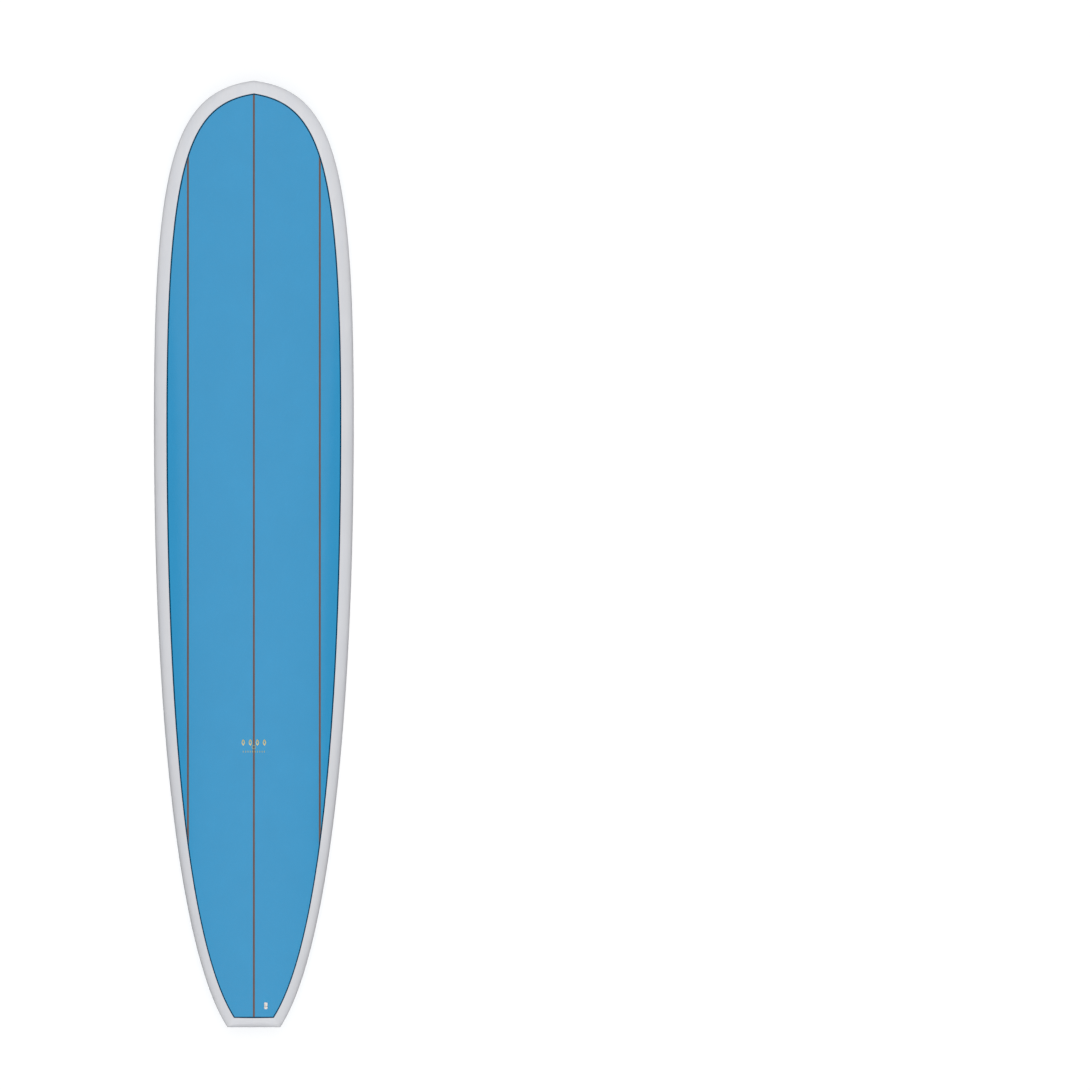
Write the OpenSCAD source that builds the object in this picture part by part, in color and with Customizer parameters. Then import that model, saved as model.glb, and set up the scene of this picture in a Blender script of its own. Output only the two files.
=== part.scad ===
// Three-stringer longboard surfboard, lying on its bottom.
// Origin: centreline, mid length, lowest point of the bottom. +Y nose, +Z deck.

/* [Outline] */
// Length from nose tip to tail block
board_len = 2770; // [2740:5:2800]
// Width at the widest point
board_w = 585; // [560:5:610]
// Distance of the widest point ahead of mid length
wide_y = 390; // [340:10:440]
// Width of the straight tail block
tail_w = 154; // [140:2:170]
// Angle between the tail block and the side at the tail corner
tail_angle = 56.5; // [54:0.5:60]

/* [Thickness and rocker] */
// Deck height at mid length
mid_deck = 80.6; // [76:0.2:88]
// Height of the bottom at the nose tip
nose_rocker = 98.2; // [90:0.2:110]
// Height of the bottom at the tail block
tail_rocker = 96.2; // [88:0.2:105]
// Rise of the deck line from mid length to the nose
nose_deck_rise = 45.8; // [40:0.2:52]
// Rise of the deck line from mid length to the tail
tail_deck_rise = 35.5; // [30:0.2:40]
// Share of the thickness that the deck falls from centre to panel edge
crown = 0.283; // [0.2:0.01:0.34]
// Rise of the rolled bottom from centre to panel edge
belly = 3.5; // [2:0.5:5]

/* [Skins] */
// Thickness of the sanded and polished colour coat
coat_t = 0.5; // [0.4:0.1:0.8]
// Thickness of the glass and resin laminate
laminate_t = 1; // [0.8:0.1:1.5]
// Width of the painted pinlines
pinline_w = 4.2; // [2.5:0.1:5]

/* [Stringers] */
// Thickness of each wooden stringer
stringer_t = 5.8; // [4:0.2:7]
// Distance of the outer stringers from the centreline
stringer_x = 193; // [188:1:198]

/* [Centre fin box] */
// Slot length
centre_slot_len = 269.8; // [262:0.2:272]
// Slot width
centre_slot_w = 9.2; // [8.8:0.1:9.6]
// Distance of the slot's middle behind mid length
centre_box_back = 1109.8; // [1100:0.2:1116]
// Width of the roller channel and of its drop-in notch
channel_w = 14.4; // [14:0.2:16.4]

/* [Side fin boxes] */
// Slot length
side_slot_len = 113.5; // [112:0.5:116]
// Slot width
side_slot_w = 6.6; // [6.2:0.1:7]
// Distance of the slot's middle behind mid length
side_box_back = 947.6; // [940:0.2:952]
// Distance of the slot's middle from the centreline
side_box_out = 168.8; // [164:0.2:170]
// Toe-in of each side box
toe_in = 2.9; // [2:0.1:4]
// Tilt of the set screw from the box's depth direction
screw_tilt = 30; // [26:1:34]

/* [Leash plug] */
// Distance from the centreline
plug_out = 35; // [30:1:40]
// Distance behind mid length
plug_back = 1322; // [1316:1:1328]
// Mouth width
plug_mouth_w = 10; // [10:0.1:13]
// Mouth length
plug_mouth_len = 19.5; // [19:0.5:23]

/* [Hidden] */
half_len = board_len / 2;
half_w = board_w / 2;
lam_t = coat_t + laminate_t;
bed_t = 1.5;
over = 6;
$fn = 48;

// Half outlines: tail half width, tail y, corner angle, tail handle,
// widest half width, back handle, front handle, nose y, nose handle, nose angle.
OUTLINE = [tail_w / 2, -half_len, tail_angle, 230, half_w, 970, 745, half_len, 241, 7];
DECK_EDGE = [tail_w / 2 - 21, 31 - half_len, tail_angle + 1, 230,
             half_w - 40.6, 963, 765, half_len - 41.3, 191, 9];
BOTTOM_EDGE = [tail_w / 2 - 18.8, 21 - half_len, tail_angle + 0.5, 230,
               half_w - 29.4, 992, 771, half_len - 31, 200, 8.6];

// Stations from the tail corner to the nose tip, and fractions across a panel.
TAIL_STEPS = 18;
NOSE_STEPS = 22;
N = TAIL_STEPS + NOSE_STEPS;
ACROSS = [-1, -0.82, -0.58, -0.3, 0, 0.3, 0.58, 0.82, 1];
F = len(ACROSS);
S = F + 2 * N - 1;

function bez(a, b, c, d, t) =
    pow(1 - t, 3) * a + 3 * pow(1 - t, 2) * t * b + 3 * (1 - t) * t * t * c + pow(t, 3) * d;

// Point of a half outline at station i.
function border(e, i) = i <= TAIL_STEPS
    ? bez([e[0], e[1]], [e[0] + e[3] * cos(e[2]), e[1] + e[3] * sin(e[2])],
          [e[4], wide_y - e[5]], [e[4], wide_y], i / TAIL_STEPS)
    : bez([e[4], wide_y], [e[4], wide_y + e[6]],
          [e[8] * cos(e[9]), e[7] - e[8] * sin(e[9])], [0, e[7]], (i - TAIL_STEPS) / NOSE_STEPS);

// Outline moved inward by t.
function outline_in(t) = [for (k = [0:9])
    OUTLINE[k] + (k == 0 ? -0.5 * t : k == 1 ? t : k == 4 ? -t : k == 7 ? -t : 0)];

// Height of the bottom and of the deck along the centreline.
function rise(y, r, p, tip) =
    (r - tip) * pow(abs(y) / half_len, p) + tip * pow(abs(y) / half_len, 12);
function bottom_line(y) = y > 0 ? rise(y, nose_rocker, 2.2, 5.6) : rise(y, tail_rocker, 2.12, 11.3);
function deck_rise(y, r, p, tip) =
    (r - tip) * pow(abs(y) / half_len, p) + tip * pow(abs(y) / half_len, 8);
function deck_line(y) = mid_deck
    + (y > 0 ? deck_rise(y, nose_deck_rise, 2.05, 10.3) : deck_rise(y, tail_deck_rise, 1.7, 10.2));
function depth(y) = deck_line(y) - bottom_line(y);

// Fall of the deck and rise of the bottom at the panel edges. The deck's fall follows the panel's
// half width by a power that grows from tail to nose over CROWN_REACH each way.
CROWN_POWER = 2.2;
CROWN_REACH = 600;
BELLY_REACH = 120;
function deck_fall(x, y) = crown * depth(y)
    * pow(x / DECK_EDGE[4], 0.9 + 0.3 * max(-1, min(1, y / CROWN_REACH)));
function bottom_roll(x) = belly * min(1, x / BELLY_REACH);

// Panel surfaces: f is the fraction of the half width x.
function deck_pt(x, y, f, t) =
    [f * x, y, deck_line(y) - deck_fall(x, y) * pow(abs(f), CROWN_POWER) - t];
function bottom_pt(x, y, f, t) = [f * x, y, bottom_line(y) + bottom_roll(x) * f * f + t];

// Height of the widest line of the rail, as a share of the thickness.
function apex(y) = y > 0 ? 0.4 + 0.1 * pow(y / half_len, 3) : 0.4 - 0.3 * pow(-y / half_len, 3);
function apex_pt(o, f, t) = [f * o[0], o[1],
    bottom_line(o[1]) + apex(o[1]) * depth(o[1]) + t * (o[1] < 0 ? pow(o[1] / half_len, 2) : 0)];

// Rail columns: deck edge, pinline, rail, widest line, rail, pinline, bottom edge.
UPPER = [0, 0, 0.24, 0.44, 0.63, 0.82, 1];
LOWER = [0, 0.2, 0.42, 0.7, 0, 1];
K = len(UPPER) + len(LOWER) - 2;
KA = len(UPPER) - 1;
function unit2(v) = let (n = norm([v[0], v[1]])) [v[0] / n, v[1] / n];
function upper_pt(d, a, slope, u) =
    let (o = unit2(a - d), run = norm([a[0] - d[0], a[1] - d[1]]) * 0.55)
    let (w = u == 0 ? 0 : u < 0 ? pinline_w / (3 * run) : u)
    bez(d, d + [o[0] * run, o[1] * run, -slope * run], a + [0, 0, 0.62 * (d[2] - a[2])], a, w);
function lower_pt(a, b, slope, u) =
    let (o = unit2(a - b), run = norm([a[0] - b[0], a[1] - b[1]]) * 0.55)
    let (w = u < 0 ? 1 - pinline_w / (3 * run) : u)
    bez(a, a - [0, 0, 0.55 * (a[2] - b[2])], b + [o[0] * run, o[1] * run, slope * run], b, w);

// Surface slopes at the panel edges, eased where the board is narrower than SLOPE_W.
SLOPE_W = 60;
NOSE_SLOPE = 0.1;
function deck_slope(d, i, f) =
    i == N ? 0 : CROWN_POWER * deck_fall(d[0], d[1]) / max(d[0], SLOPE_W) * abs(f);
function bottom_slope(b, i) = i == N ? NOSE_SLOPE : 2 * bottom_roll(b[0]) / max(b[0], SLOPE_W);

// Point of the closed ring around the board: j around, k from deck to bottom.
function station(j) = j < F ? 0 : j < F + N ? j - F + 1 : S - j;
function side(j) = j < F ? ACROSS[j] : j < F + N - 1 ? 1 : j == F + N - 1 ? 0 : -1;
function ring_pt(j, k, t) =
    let (i = station(j), f = side(j), d = border(DECK_EDGE, i), b = border(BOTTOM_EDGE, i))
    let (d3 = deck_pt(d[0], d[1], f, t), b3 = bottom_pt(b[0], b[1], f, t))
    let (a3 = apex_pt(border(outline_in(t), i), f, t))
    k <= KA
    ? upper_pt(d3, a3, deck_slope(d, i, f), k == 1 ? -1 : UPPER[k])
    : lower_pt(a3, b3, bottom_slope(b, i), k == K - 1 ? -1 : LOWER[k - KA]);

// All points of one closed surface, t inside the outer surface.
function inner_pts(deck, t) = [for (i = [1:N - 1], c = [1:F - 2])
    deck ? let (d = border(DECK_EDGE, i)) deck_pt(d[0], d[1], ACROSS[c], t)
         : let (b = border(BOTTOM_EDGE, i)) bottom_pt(b[0], b[1], ACROSS[c], t)];
function surface_pts(t) = concat([for (k = [0:K], j = [0:S - 1]) ring_pt(j, k, t)],
                                 inner_pts(true, t), inner_pts(false, t));
RING = (K + 1) * S;
INNER = (N - 1) * (F - 2);
M = RING + 2 * INNER;

// Point numbers: on the ring, and on the deck or bottom panel.
function r(j, k) = k * S + (j + S) % S;
function p(deck, i, c) = let (k = deck ? 0 : K)
    i == 0 ? r(c, k) : i == N ? r(F + N - 1, k) : c == 0 ? r(S - i, k) : c == F - 1 ? r(F - 1 + i, k)
    : RING + (deck ? 0 : INNER) + (i - 1) * (F - 2) + c - 1;

// Triangles, clockwise seen from outside.
function quad(a, b, c, d) = [[a, b, c], [a, c, d]];
function join(lists) = [for (l = lists, e = l) e];
function ring_faces(k0, k1) = k1 <= k0 ? [] : join([for (k = [k0:k1 - 1], j = [0:S - 1])
    quad(r(j, k), r(j + 1, k), r(j + 1, k + 1), r(j, k + 1))]);
function panel_faces(deck) = concat(
    join([for (i = [0:N - 2], c = [0:F - 2]) deck
        ? quad(p(deck, i, c), p(deck, i + 1, c), p(deck, i + 1, c + 1), p(deck, i, c + 1))
        : quad(p(deck, i, c), p(deck, i, c + 1), p(deck, i + 1, c + 1), p(deck, i + 1, c))]),
    [for (c = [0:F - 2]) deck
        ? [p(deck, N - 1, c), p(deck, N, 0), p(deck, N - 1, c + 1)]
        : [p(deck, N - 1, c), p(deck, N - 1, c + 1), p(deck, N, 0)]]);
function outer_faces(k0, k1, deck, bottom) = concat(ring_faces(k0, k1),
    deck ? panel_faces(true) : [], bottom ? panel_faces(false) : []);
function wall_faces(k, far) = join([for (j = [0:S - 1]) far
    ? quad(r(j, k), r(j + 1, k), M + r(j + 1, k), M + r(j, k))
    : quad(r(j, k), M + r(j, k), M + r(j + 1, k), r(j + 1, k))]);

// A skin between depths t0 and t1, from ring column k0 to k1, with or without the panels.
module skin(t0, t1, k0, k1, deck = false, bottom = false) {
    faces = outer_faces(k0, k1, deck, bottom);
    polyhedron(concat(surface_pts(t0), surface_pts(t1)),
        concat(faces, [for (f = faces) [M + f[0], M + f[2], M + f[1]]],
               deck ? [] : wall_faces(k0, false), bottom ? [] : wall_faces(k1, true)));
}

// The whole foam blank with its stringers, before cutting.
module blank() {
    polyhedron(surface_pts(lam_t), outer_faces(0, K, true, true));
}

module strip(x0, x1) {
    intersection() {
        blank();
        translate([x0, -half_len, -over]) cube([x1 - x0, board_len, 200]);
    }
}

// Frames on the surfaces: origin on the skin, +Z into the board.
BOTTOM_HALF = 186; // half width of the bottom panel beside the side boxes
PITCH_REACH = 10;
function bottom_z(x, y) = bottom_line(y) + belly * pow(x / BOTTOM_HALF, 2);
function bottom_pitch(y, l) = atan((bottom_line(y + l / 2) - bottom_line(y - l / 2)) / l);
CENTRE_PITCH = bottom_pitch(-centre_box_back, centre_slot_len);
SIDE_PITCH = bottom_pitch(-side_box_back, side_slot_len);
SIDE_LEAN = -atan(2 * belly * side_box_out / pow(BOTTOM_HALF, 2));
CENTRE_Z = (bottom_line(centre_slot_len / 2 - centre_box_back)
    + bottom_line(-centre_slot_len / 2 - centre_box_back)) / 2;
SIDE_Z = bottom_z(side_box_out, -side_box_back);
PLUG_PITCH = atan((deck_line(PITCH_REACH - plug_back) - deck_line(-PITCH_REACH - plug_back))
    / (2 * PITCH_REACH));
PLUG_Z = deck_line(-plug_back) - 1;

module centre_frame() {
    translate([0, -centre_box_back, CENTRE_Z]) rotate([CENTRE_PITCH, 0, 0]) children();
}
module side_frame(s) {
    translate([s * side_box_out, -side_box_back, SIDE_Z])
        rotate([SIDE_PITCH, s * SIDE_LEAN, s * toe_in]) children();
}
module plug_frame() {
    translate([plug_out, -plug_back, PLUG_Z]) rotate([180 + PLUG_PITCH, 0, 0]) children();
}

// Centred block reaching from outside the skin to a depth d.
module block(w, l, d) {
    translate([-w / 2, -l / 2, -over]) cube([w, l, d + over]);
}

// Centre fin box: long slot, roller channel under its lips, drop-in notch.
centre_box_w = 22;
centre_box_len = 281;
centre_box_d = 26;
centre_slot_d = 23;
channel_top = 8;
channel_h = 6;
notch_len = 11.7;
module centre_box_block(grow) {
    centre_frame() block(centre_box_w + 2 * grow, centre_box_len + 2 * grow, centre_box_d + grow);
}
module centre_mouth() {
    centre_frame() {
        block(centre_slot_w, centre_slot_len, centre_slot_d);
        block(channel_w, notch_len, channel_top + channel_h);
    }
}
module centre_fin_box() {
    color([0.69, 0.69, 0.69]) difference() {
        intersection() {
            blank();
            centre_box_block(0);
        }
        centre_mouth();
        centre_frame() translate([-channel_w / 2, -centre_slot_len / 2, channel_top])
            cube([channel_w, centre_slot_len, channel_h]);
    }
}
module centre_box_bed() {
    color([0.86, 0.84, 0.76]) difference() {
        intersection() {
            blank();
            centre_box_block(bed_t);
        }
        centre_box_block(0);
    }
}

// Side fin boxes: short slot and a slanted screw hole that breaks into its front end.
side_box_w = 13;
side_box_len = 136;
side_box_shift = 5;
side_box_d = 21.5;
side_slot_d = 19;
screw_r = 2.4;
screw_len = 9.5;
screw_gap = 0.05;
screw_sink = 1.2;
screw_ahead = 7.3;
screw_hole_d = 18;
screw_mouth_gap = 0.45;
screw_mouth_d = 3;
hex_r = 1.37;
hex_d = 3.5;
module side_box_block(s, grow) {
    side_frame(s) translate([0, side_box_shift, 0])
        block(side_box_w + 2 * grow, side_box_len + 2 * grow, side_box_d + grow);
}
module screw_frame(s) {
    side_frame(s) translate([0, side_slot_len / 2 + screw_ahead, 0])
        rotate([screw_tilt, 0, 0]) children();
}
module screw_hole(s, rad, depth_in) {
    screw_frame(s) translate([0, 0, -over]) cylinder(r = rad, h = depth_in + over);
}
module side_mouth(s) {
    side_frame(s) block(side_slot_w, side_slot_len, side_slot_d);
    screw_hole(s, screw_r + screw_mouth_gap, screw_mouth_d);
}
module side_fin_box(s) {
    color([0.72, 0.71, 0.69]) difference() {
        intersection() {
            blank();
            side_box_block(s, 0);
        }
        side_frame(s) block(side_slot_w, side_slot_len, side_slot_d);
        screw_hole(s, screw_r + screw_gap, screw_hole_d);
    }
}
module side_box_bed(s) {
    color([0.86, 0.84, 0.76]) difference() {
        intersection() {
            blank();
            side_box_block(s, bed_t);
        }
        side_box_block(s, 0);
    }
}
module fin_screw(s) {
    color([0.6, 0.58, 0.55]) screw_frame(s) translate([0, 0, screw_sink]) difference() {
        cylinder(r = screw_r, h = screw_len);
        translate([0, 0, -1]) cylinder(r = hex_r, h = hex_d + 1, $fn = 6);
    }
}

// Leash plug: round cup under the laminate, oblong mouth, cross bar.
plug_r = 15;
plug_d = 17;
pocket_d = 13.5;
bar_r = 1.5;
bar_sink = 5;
bar_back = 1;
bar_len = 18;
module plug_body(grow) {
    plug_frame() translate([0, 0, -over]) cylinder(r = plug_r + grow, h = plug_d + grow + over);
}
module plug_mouth() {
    corner = 2.2;
    plug_frame() {
        block(plug_mouth_w - 2 * corner, plug_mouth_len, pocket_d);
        block(plug_mouth_w, plug_mouth_len - 2 * corner, pocket_d);
        for (sx = [-1, 1], sy = [-1, 1])
            translate([sx * (plug_mouth_w / 2 - corner), sy * (plug_mouth_len / 2 - corner), -over])
                cylinder(r = corner, h = pocket_d + over, $fn = 24);
    }
}
module bar_solid() {
    plug_frame() translate([-bar_len / 2, bar_back, bar_sink]) rotate([0, 90, 0])
        cylinder(r = bar_r, h = bar_len);
}
module leash_plug_cup() {
    color([0.93, 0.92, 0.9]) difference() {
        intersection() {
            blank();
            plug_body(0);
        }
        plug_mouth();
        bar_solid();
    }
}
module leash_plug_bar() {
    color([0.7, 0.7, 0.7]) bar_solid();
}
module leash_plug_bed() {
    color([0.86, 0.84, 0.76]) difference() {
        intersection() {
            blank();
            plug_body(bed_t);
        }
        plug_body(0);
    }
}

// Foam strips and stringers.
inner_x0 = stringer_t / 2;
inner_x1 = stringer_x - stringer_t / 2;
outer_x0 = stringer_x + stringer_t / 2;
module foam_inner(s) {
    color([0.95, 0.93, 0.86]) difference() {
        strip(s > 0 ? inner_x0 : -inner_x1, s > 0 ? inner_x1 : -inner_x0);
        centre_box_block(bed_t);
        side_box_block(s, bed_t);
        if (s > 0) plug_body(bed_t);
    }
}
module foam_outer(s) {
    color([0.93, 0.91, 0.84]) strip(s > 0 ? outer_x0 : -half_w, s > 0 ? half_w : -outer_x0);
}
module foam_core_right_inner() { foam_inner(1); }
module foam_core_left_inner() { foam_inner(-1); }
module foam_core_right_outer() { foam_outer(1); }
module foam_core_left_outer() { foam_outer(-1); }
module stringer(x) {
    color([0.6, 0.42, 0.28]) strip(x - stringer_t / 2, x + stringer_t / 2);
}
module centre_stringer() {
    difference() {
        stringer(0);
        centre_box_block(bed_t);
    }
}
module left_stringer() { stringer(-stringer_x); }
module right_stringer() { stringer(stringer_x); }

// Laminates, joined at the widest line of the rail.
module deck_laminate() {
    color([0.8, 0.88, 0.85]) difference() {
        skin(coat_t, lam_t, 0, KA, deck = true);
        plug_mouth();
    }
}
module fin_mouths() {
    centre_mouth();
    side_mouth(1);
    side_mouth(-1);
}
module bottom_laminate() {
    color([0.78, 0.87, 0.84]) difference() {
        skin(coat_t, lam_t, KA, K, bottom = true);
        fin_mouths();
    }
}

// Colour coat: two panels, two pinlines, one white rail band.
module deck_panel() {
    color([0.29, 0.61, 0.8]) difference() {
        skin(0, coat_t, 0, 0, deck = true);
        plug_mouth();
    }
}
module bottom_panel() {
    color([0.28, 0.6, 0.79]) difference() {
        skin(0, coat_t, K, K, bottom = true);
        fin_mouths();
    }
}
module deck_pinline() {
    color([0.1, 0.31, 0.42]) skin(0, coat_t, 0, 1);
}
module bottom_pinline() {
    color([0.1, 0.31, 0.42]) skin(0, coat_t, K - 1, K);
}
module rail_band() {
    color([0.88, 0.88, 0.9]) skin(0, coat_t, 1, K - 1);
}

module left_fin_box() { side_fin_box(-1); }
module right_fin_box() { side_fin_box(1); }
module left_box_bed() { side_box_bed(-1); }
module right_box_bed() { side_box_bed(1); }
module left_fin_screw() { fin_screw(-1); }
module right_fin_screw() { fin_screw(1); }

foam_core_left_outer();
foam_core_left_inner();
foam_core_right_inner();
foam_core_right_outer();
centre_stringer();
left_stringer();
right_stringer();
deck_laminate();
bottom_laminate();
deck_panel();
deck_pinline();
rail_band();
bottom_pinline();
bottom_panel();
centre_fin_box();
centre_box_bed();
left_fin_box();
left_box_bed();
right_fin_box();
right_box_bed();
left_fin_screw();
right_fin_screw();
leash_plug_cup();
leash_plug_bar();
leash_plug_bed();
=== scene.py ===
import math

import bmesh
import bpy
from mathutils import Matrix, Vector


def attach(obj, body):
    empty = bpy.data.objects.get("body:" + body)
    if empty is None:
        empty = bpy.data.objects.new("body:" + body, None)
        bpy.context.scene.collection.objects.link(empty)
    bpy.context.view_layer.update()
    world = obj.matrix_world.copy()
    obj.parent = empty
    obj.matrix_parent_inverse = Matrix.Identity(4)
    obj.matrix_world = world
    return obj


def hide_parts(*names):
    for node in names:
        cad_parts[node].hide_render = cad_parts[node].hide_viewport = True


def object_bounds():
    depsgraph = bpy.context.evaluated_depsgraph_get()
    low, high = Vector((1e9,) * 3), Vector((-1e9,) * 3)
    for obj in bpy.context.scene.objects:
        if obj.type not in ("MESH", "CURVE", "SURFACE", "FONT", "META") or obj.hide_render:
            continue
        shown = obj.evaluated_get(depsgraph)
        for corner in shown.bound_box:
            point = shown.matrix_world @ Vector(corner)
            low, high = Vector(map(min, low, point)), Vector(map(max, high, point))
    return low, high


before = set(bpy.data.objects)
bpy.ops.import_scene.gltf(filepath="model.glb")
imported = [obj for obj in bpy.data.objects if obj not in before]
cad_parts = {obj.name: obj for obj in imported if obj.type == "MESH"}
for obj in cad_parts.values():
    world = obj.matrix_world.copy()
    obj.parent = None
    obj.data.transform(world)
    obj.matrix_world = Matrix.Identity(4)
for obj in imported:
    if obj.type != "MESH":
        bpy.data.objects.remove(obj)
cad_low, cad_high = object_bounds()
MM = 0.001

# ---------------------------------------------------------------- sizes, in mm, as in the CAD
HALF_LEN, HALF_W, WIDE_Y, TAIL_HALF, TAIL_ANGLE = 1385.0, 292.5, 390.0, 77.0, 56.5
# A half outline is two cubic curves that meet at the widest point. The list holds: tail corner x and y,
# start angle and reach of the tail curve, greatest half width, reach behind and ahead of the widest point,
# nose tip y, and reach and angle of the curve at the tip.
OUTLINE = [TAIL_HALF, -HALF_LEN, TAIL_ANGLE, 230, HALF_W, 970, 745, HALF_LEN, 241, 7]
DECK_EDGE = [TAIL_HALF - 21, 31 - HALF_LEN, TAIL_ANGLE + 1, 230,
             HALF_W - 40.6, 963, 765, HALF_LEN - 41.3, 191, 9]
BOTTOM_EDGE = [TAIL_HALF - 18.8, 21 - HALF_LEN, TAIL_ANGLE + 0.5, 230,
               HALF_W - 29.4, 992, 771, HALF_LEN - 31, 200, 8.6]
# Profile: depth at the middle and, for nose and tail, the whole rise at the end, the power by which most of
# it comes, and how much of it comes close to the end by the tip's higher power
MID_DEPTH = 80.6
DECK_NOSE, DECK_TAIL = (45.8, 2.05, 10.3), (35.5, 1.7, 10.2)
BOTTOM_NOSE, BOTTOM_TAIL = (98.2, 2.2, 5.6), (96.2, 2.12, 11.3)
DECK_TIP_POWER, BOTTOM_TIP_POWER = 8, 12
# Deck crown as a share of the depth and its power, rise of the rolled bottom, coat thickness, pinline width
CROWN, CROWN_POWER, BELLY, COAT, PINLINE = 0.283, 2.2, 3.5, 0.5, 4.2
# Distance from the middle over which the crown changes, half width from which the roll is full, least half
# width for which the slope at a panel's edge is worked out, and the bottom's slope at the nose tip
CROWN_REACH, BELLY_REACH, SLOPE_W, NOSE_SLOPE = 600.0, 120.0, 60.0, 0.1
# Reach of the rail's curves, fullness above and below its outermost line
RAIL_REACH, RAIL_UP, RAIL_DOWN = 0.55, 0.62, 0.55
STRINGER_X, STRINGER_T = 193.0, 5.8

# Grid of the surface: N stations along, F points across the tail end, S points in a ring. Ring columns 0
# to K run from the deck panel's edge to the bottom panel's, with the rail's outermost line at KA. In UPPER
# and LOWER, the columns' places along the rail's curves, -1 stands for the pinline's outer edge.
TAIL_STEPS, NOSE_STEPS, ACROSS_STEPS = 84, 120, 44
N = TAIL_STEPS + NOSE_STEPS
ACROSS = [-1 + 2 * c / ACROSS_STEPS for c in range(ACROSS_STEPS + 1)]
F = len(ACROSS)
S = F + 2 * N - 1
UPPER = [0, -1] + [0.2 + 0.8 * q / 14 for q in range(15)]
LOWER = [0.74 * q / 13 for q in range(14)] + [-1, 1]
K = len(UPPER) + len(LOWER) - 2
KA = len(UPPER) - 1


def bez(a, b, c, d, t):
    u = 1 - t
    w = (u * u * u, 3 * u * u * t, 3 * u * t * t, t * t * t)
    return tuple(w[0] * a[n] + w[1] * b[n] + w[2] * c[n] + w[3] * d[n] for n in range(len(a)))


def border(e, i):
    """Point of a half outline at station i, from the tail corner to the nose tip."""
    if i <= TAIL_STEPS:
        ang = math.radians(e[2])
        return bez((e[0], e[1]), (e[0] + e[3] * math.cos(ang), e[1] + e[3] * math.sin(ang)),
                   (e[4], WIDE_Y - e[5]), (e[4], WIDE_Y), i / TAIL_STEPS)
    ang = math.radians(e[9])
    return bez((e[4], WIDE_Y), (e[4], WIDE_Y + e[6]), (e[8] * math.cos(ang), e[7] - e[8] * math.sin(ang)),
               (0.0, e[7]), (i - TAIL_STEPS) / NOSE_STEPS)


def outline_in(t):
    """The plan outline, t inside the outer surface."""
    e = list(OUTLINE)
    for k, step in ((0, -0.5 * t), (1, t), (4, -t), (7, -t)):
        e[k] += step
    return e


def bottom_line(y):
    r, p, tip = BOTTOM_NOSE if y > 0 else BOTTOM_TAIL
    u = abs(y) / HALF_LEN
    return (r - tip) * u ** p + tip * u ** BOTTOM_TIP_POWER


def deck_line(y):
    r, p, tip = DECK_NOSE if y > 0 else DECK_TAIL
    u = abs(y) / HALF_LEN
    return MID_DEPTH + (r - tip) * u ** p + tip * u ** DECK_TIP_POWER


def depth(y):
    return deck_line(y) - bottom_line(y)


def deck_fall(x, y):
    return CROWN * depth(y) * (x / DECK_EDGE[4]) ** (0.9 + 0.3 * max(-1, min(1, y / CROWN_REACH)))


def bottom_roll(x):
    return BELLY * min(1, x / BELLY_REACH)


def deck_pt(x, y, f, t):
    return (f * x, y, deck_line(y) - deck_fall(x, y) * abs(f) ** CROWN_POWER - t)


def bottom_pt(x, y, f, t):
    return (f * x, y, bottom_line(y) + bottom_roll(x) * f * f + t)


def apex(y):
    """Height of the rail's outermost line as a share of the depth."""
    return 0.4 + 0.1 * (y / HALF_LEN) ** 3 if y > 0 else 0.4 - 0.3 * (-y / HALF_LEN) ** 3


def apex_pt(o, f, t):
    lift = t * (o[1] / HALF_LEN) ** 2 if o[1] < 0 else 0
    return (f * o[0], o[1], bottom_line(o[1]) + apex(o[1]) * depth(o[1]) + lift)


def outward(a, d):
    """Direction in plan from a panel's edge d to the rail's outermost line a, and the reach of a curve."""
    run = math.hypot(a[0] - d[0], a[1] - d[1])
    return (a[0] - d[0]) / run, (a[1] - d[1]) / run, run * RAIL_REACH


def upper_pt(d, a, slope, u):
    ox, oy, run = outward(a, d)
    w = PINLINE / (3 * run) if u < 0 else u
    return bez(d, (d[0] + ox * run, d[1] + oy * run, d[2] - slope * run),
               (a[0], a[1], a[2] + RAIL_UP * (d[2] - a[2])), a, w)


def lower_pt(a, b, slope, u):
    ox, oy, run = outward(a, b)
    w = 1 - PINLINE / (3 * run) if u < 0 else u
    return bez(a, (a[0], a[1], a[2] - RAIL_DOWN * (a[2] - b[2])),
               (b[0] + ox * run, b[1] + oy * run, b[2] + slope * run), b, w)


def station(j):
    """Station of ring point j: across the tail end, up the right side, and back down the left."""
    return 0 if j < F else j - F + 1 if j < F + N else S - j


def side_of(j):
    return ACROSS[j] if j < F else 1 if j < F + N - 1 else 0 if j == F + N - 1 else -1


def surface_pts(t):
    """Ring points, then the inner points of the deck and bottom panels, t inside the outer surface."""
    pts = [None] * ((K + 1) * S)
    out_t = outline_in(t)
    for j in range(S):
        i, f = station(j), side_of(j)
        d, b, o = border(DECK_EDGE, i), border(BOTTOM_EDGE, i), border(out_t, i)
        d3, b3, a3 = deck_pt(d[0], d[1], f, t), bottom_pt(b[0], b[1], f, t), apex_pt(o, f, t)
        up = 0 if i == N else CROWN_POWER * deck_fall(d[0], d[1]) / max(d[0], SLOPE_W) * abs(f)
        low = NOSE_SLOPE if i == N else 2 * bottom_roll(b[0]) / max(b[0], SLOPE_W)
        for k in range(K + 1):
            pts[k * S + j] = (upper_pt(d3, a3, up, UPPER[k]) if k <= KA
                              else lower_pt(a3, b3, low, LOWER[k - KA]))
    for edge, at in ((DECK_EDGE, deck_pt), (BOTTOM_EDGE, bottom_pt)):
        for i in range(1, N):
            e = border(edge, i)
            pts += [at(e[0], e[1], ACROSS[c], t) for c in range(1, F - 1)]
    return pts


def ring(j, k):
    """Number of ring point j in column k."""
    return k * S + (j + S) % S


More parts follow.
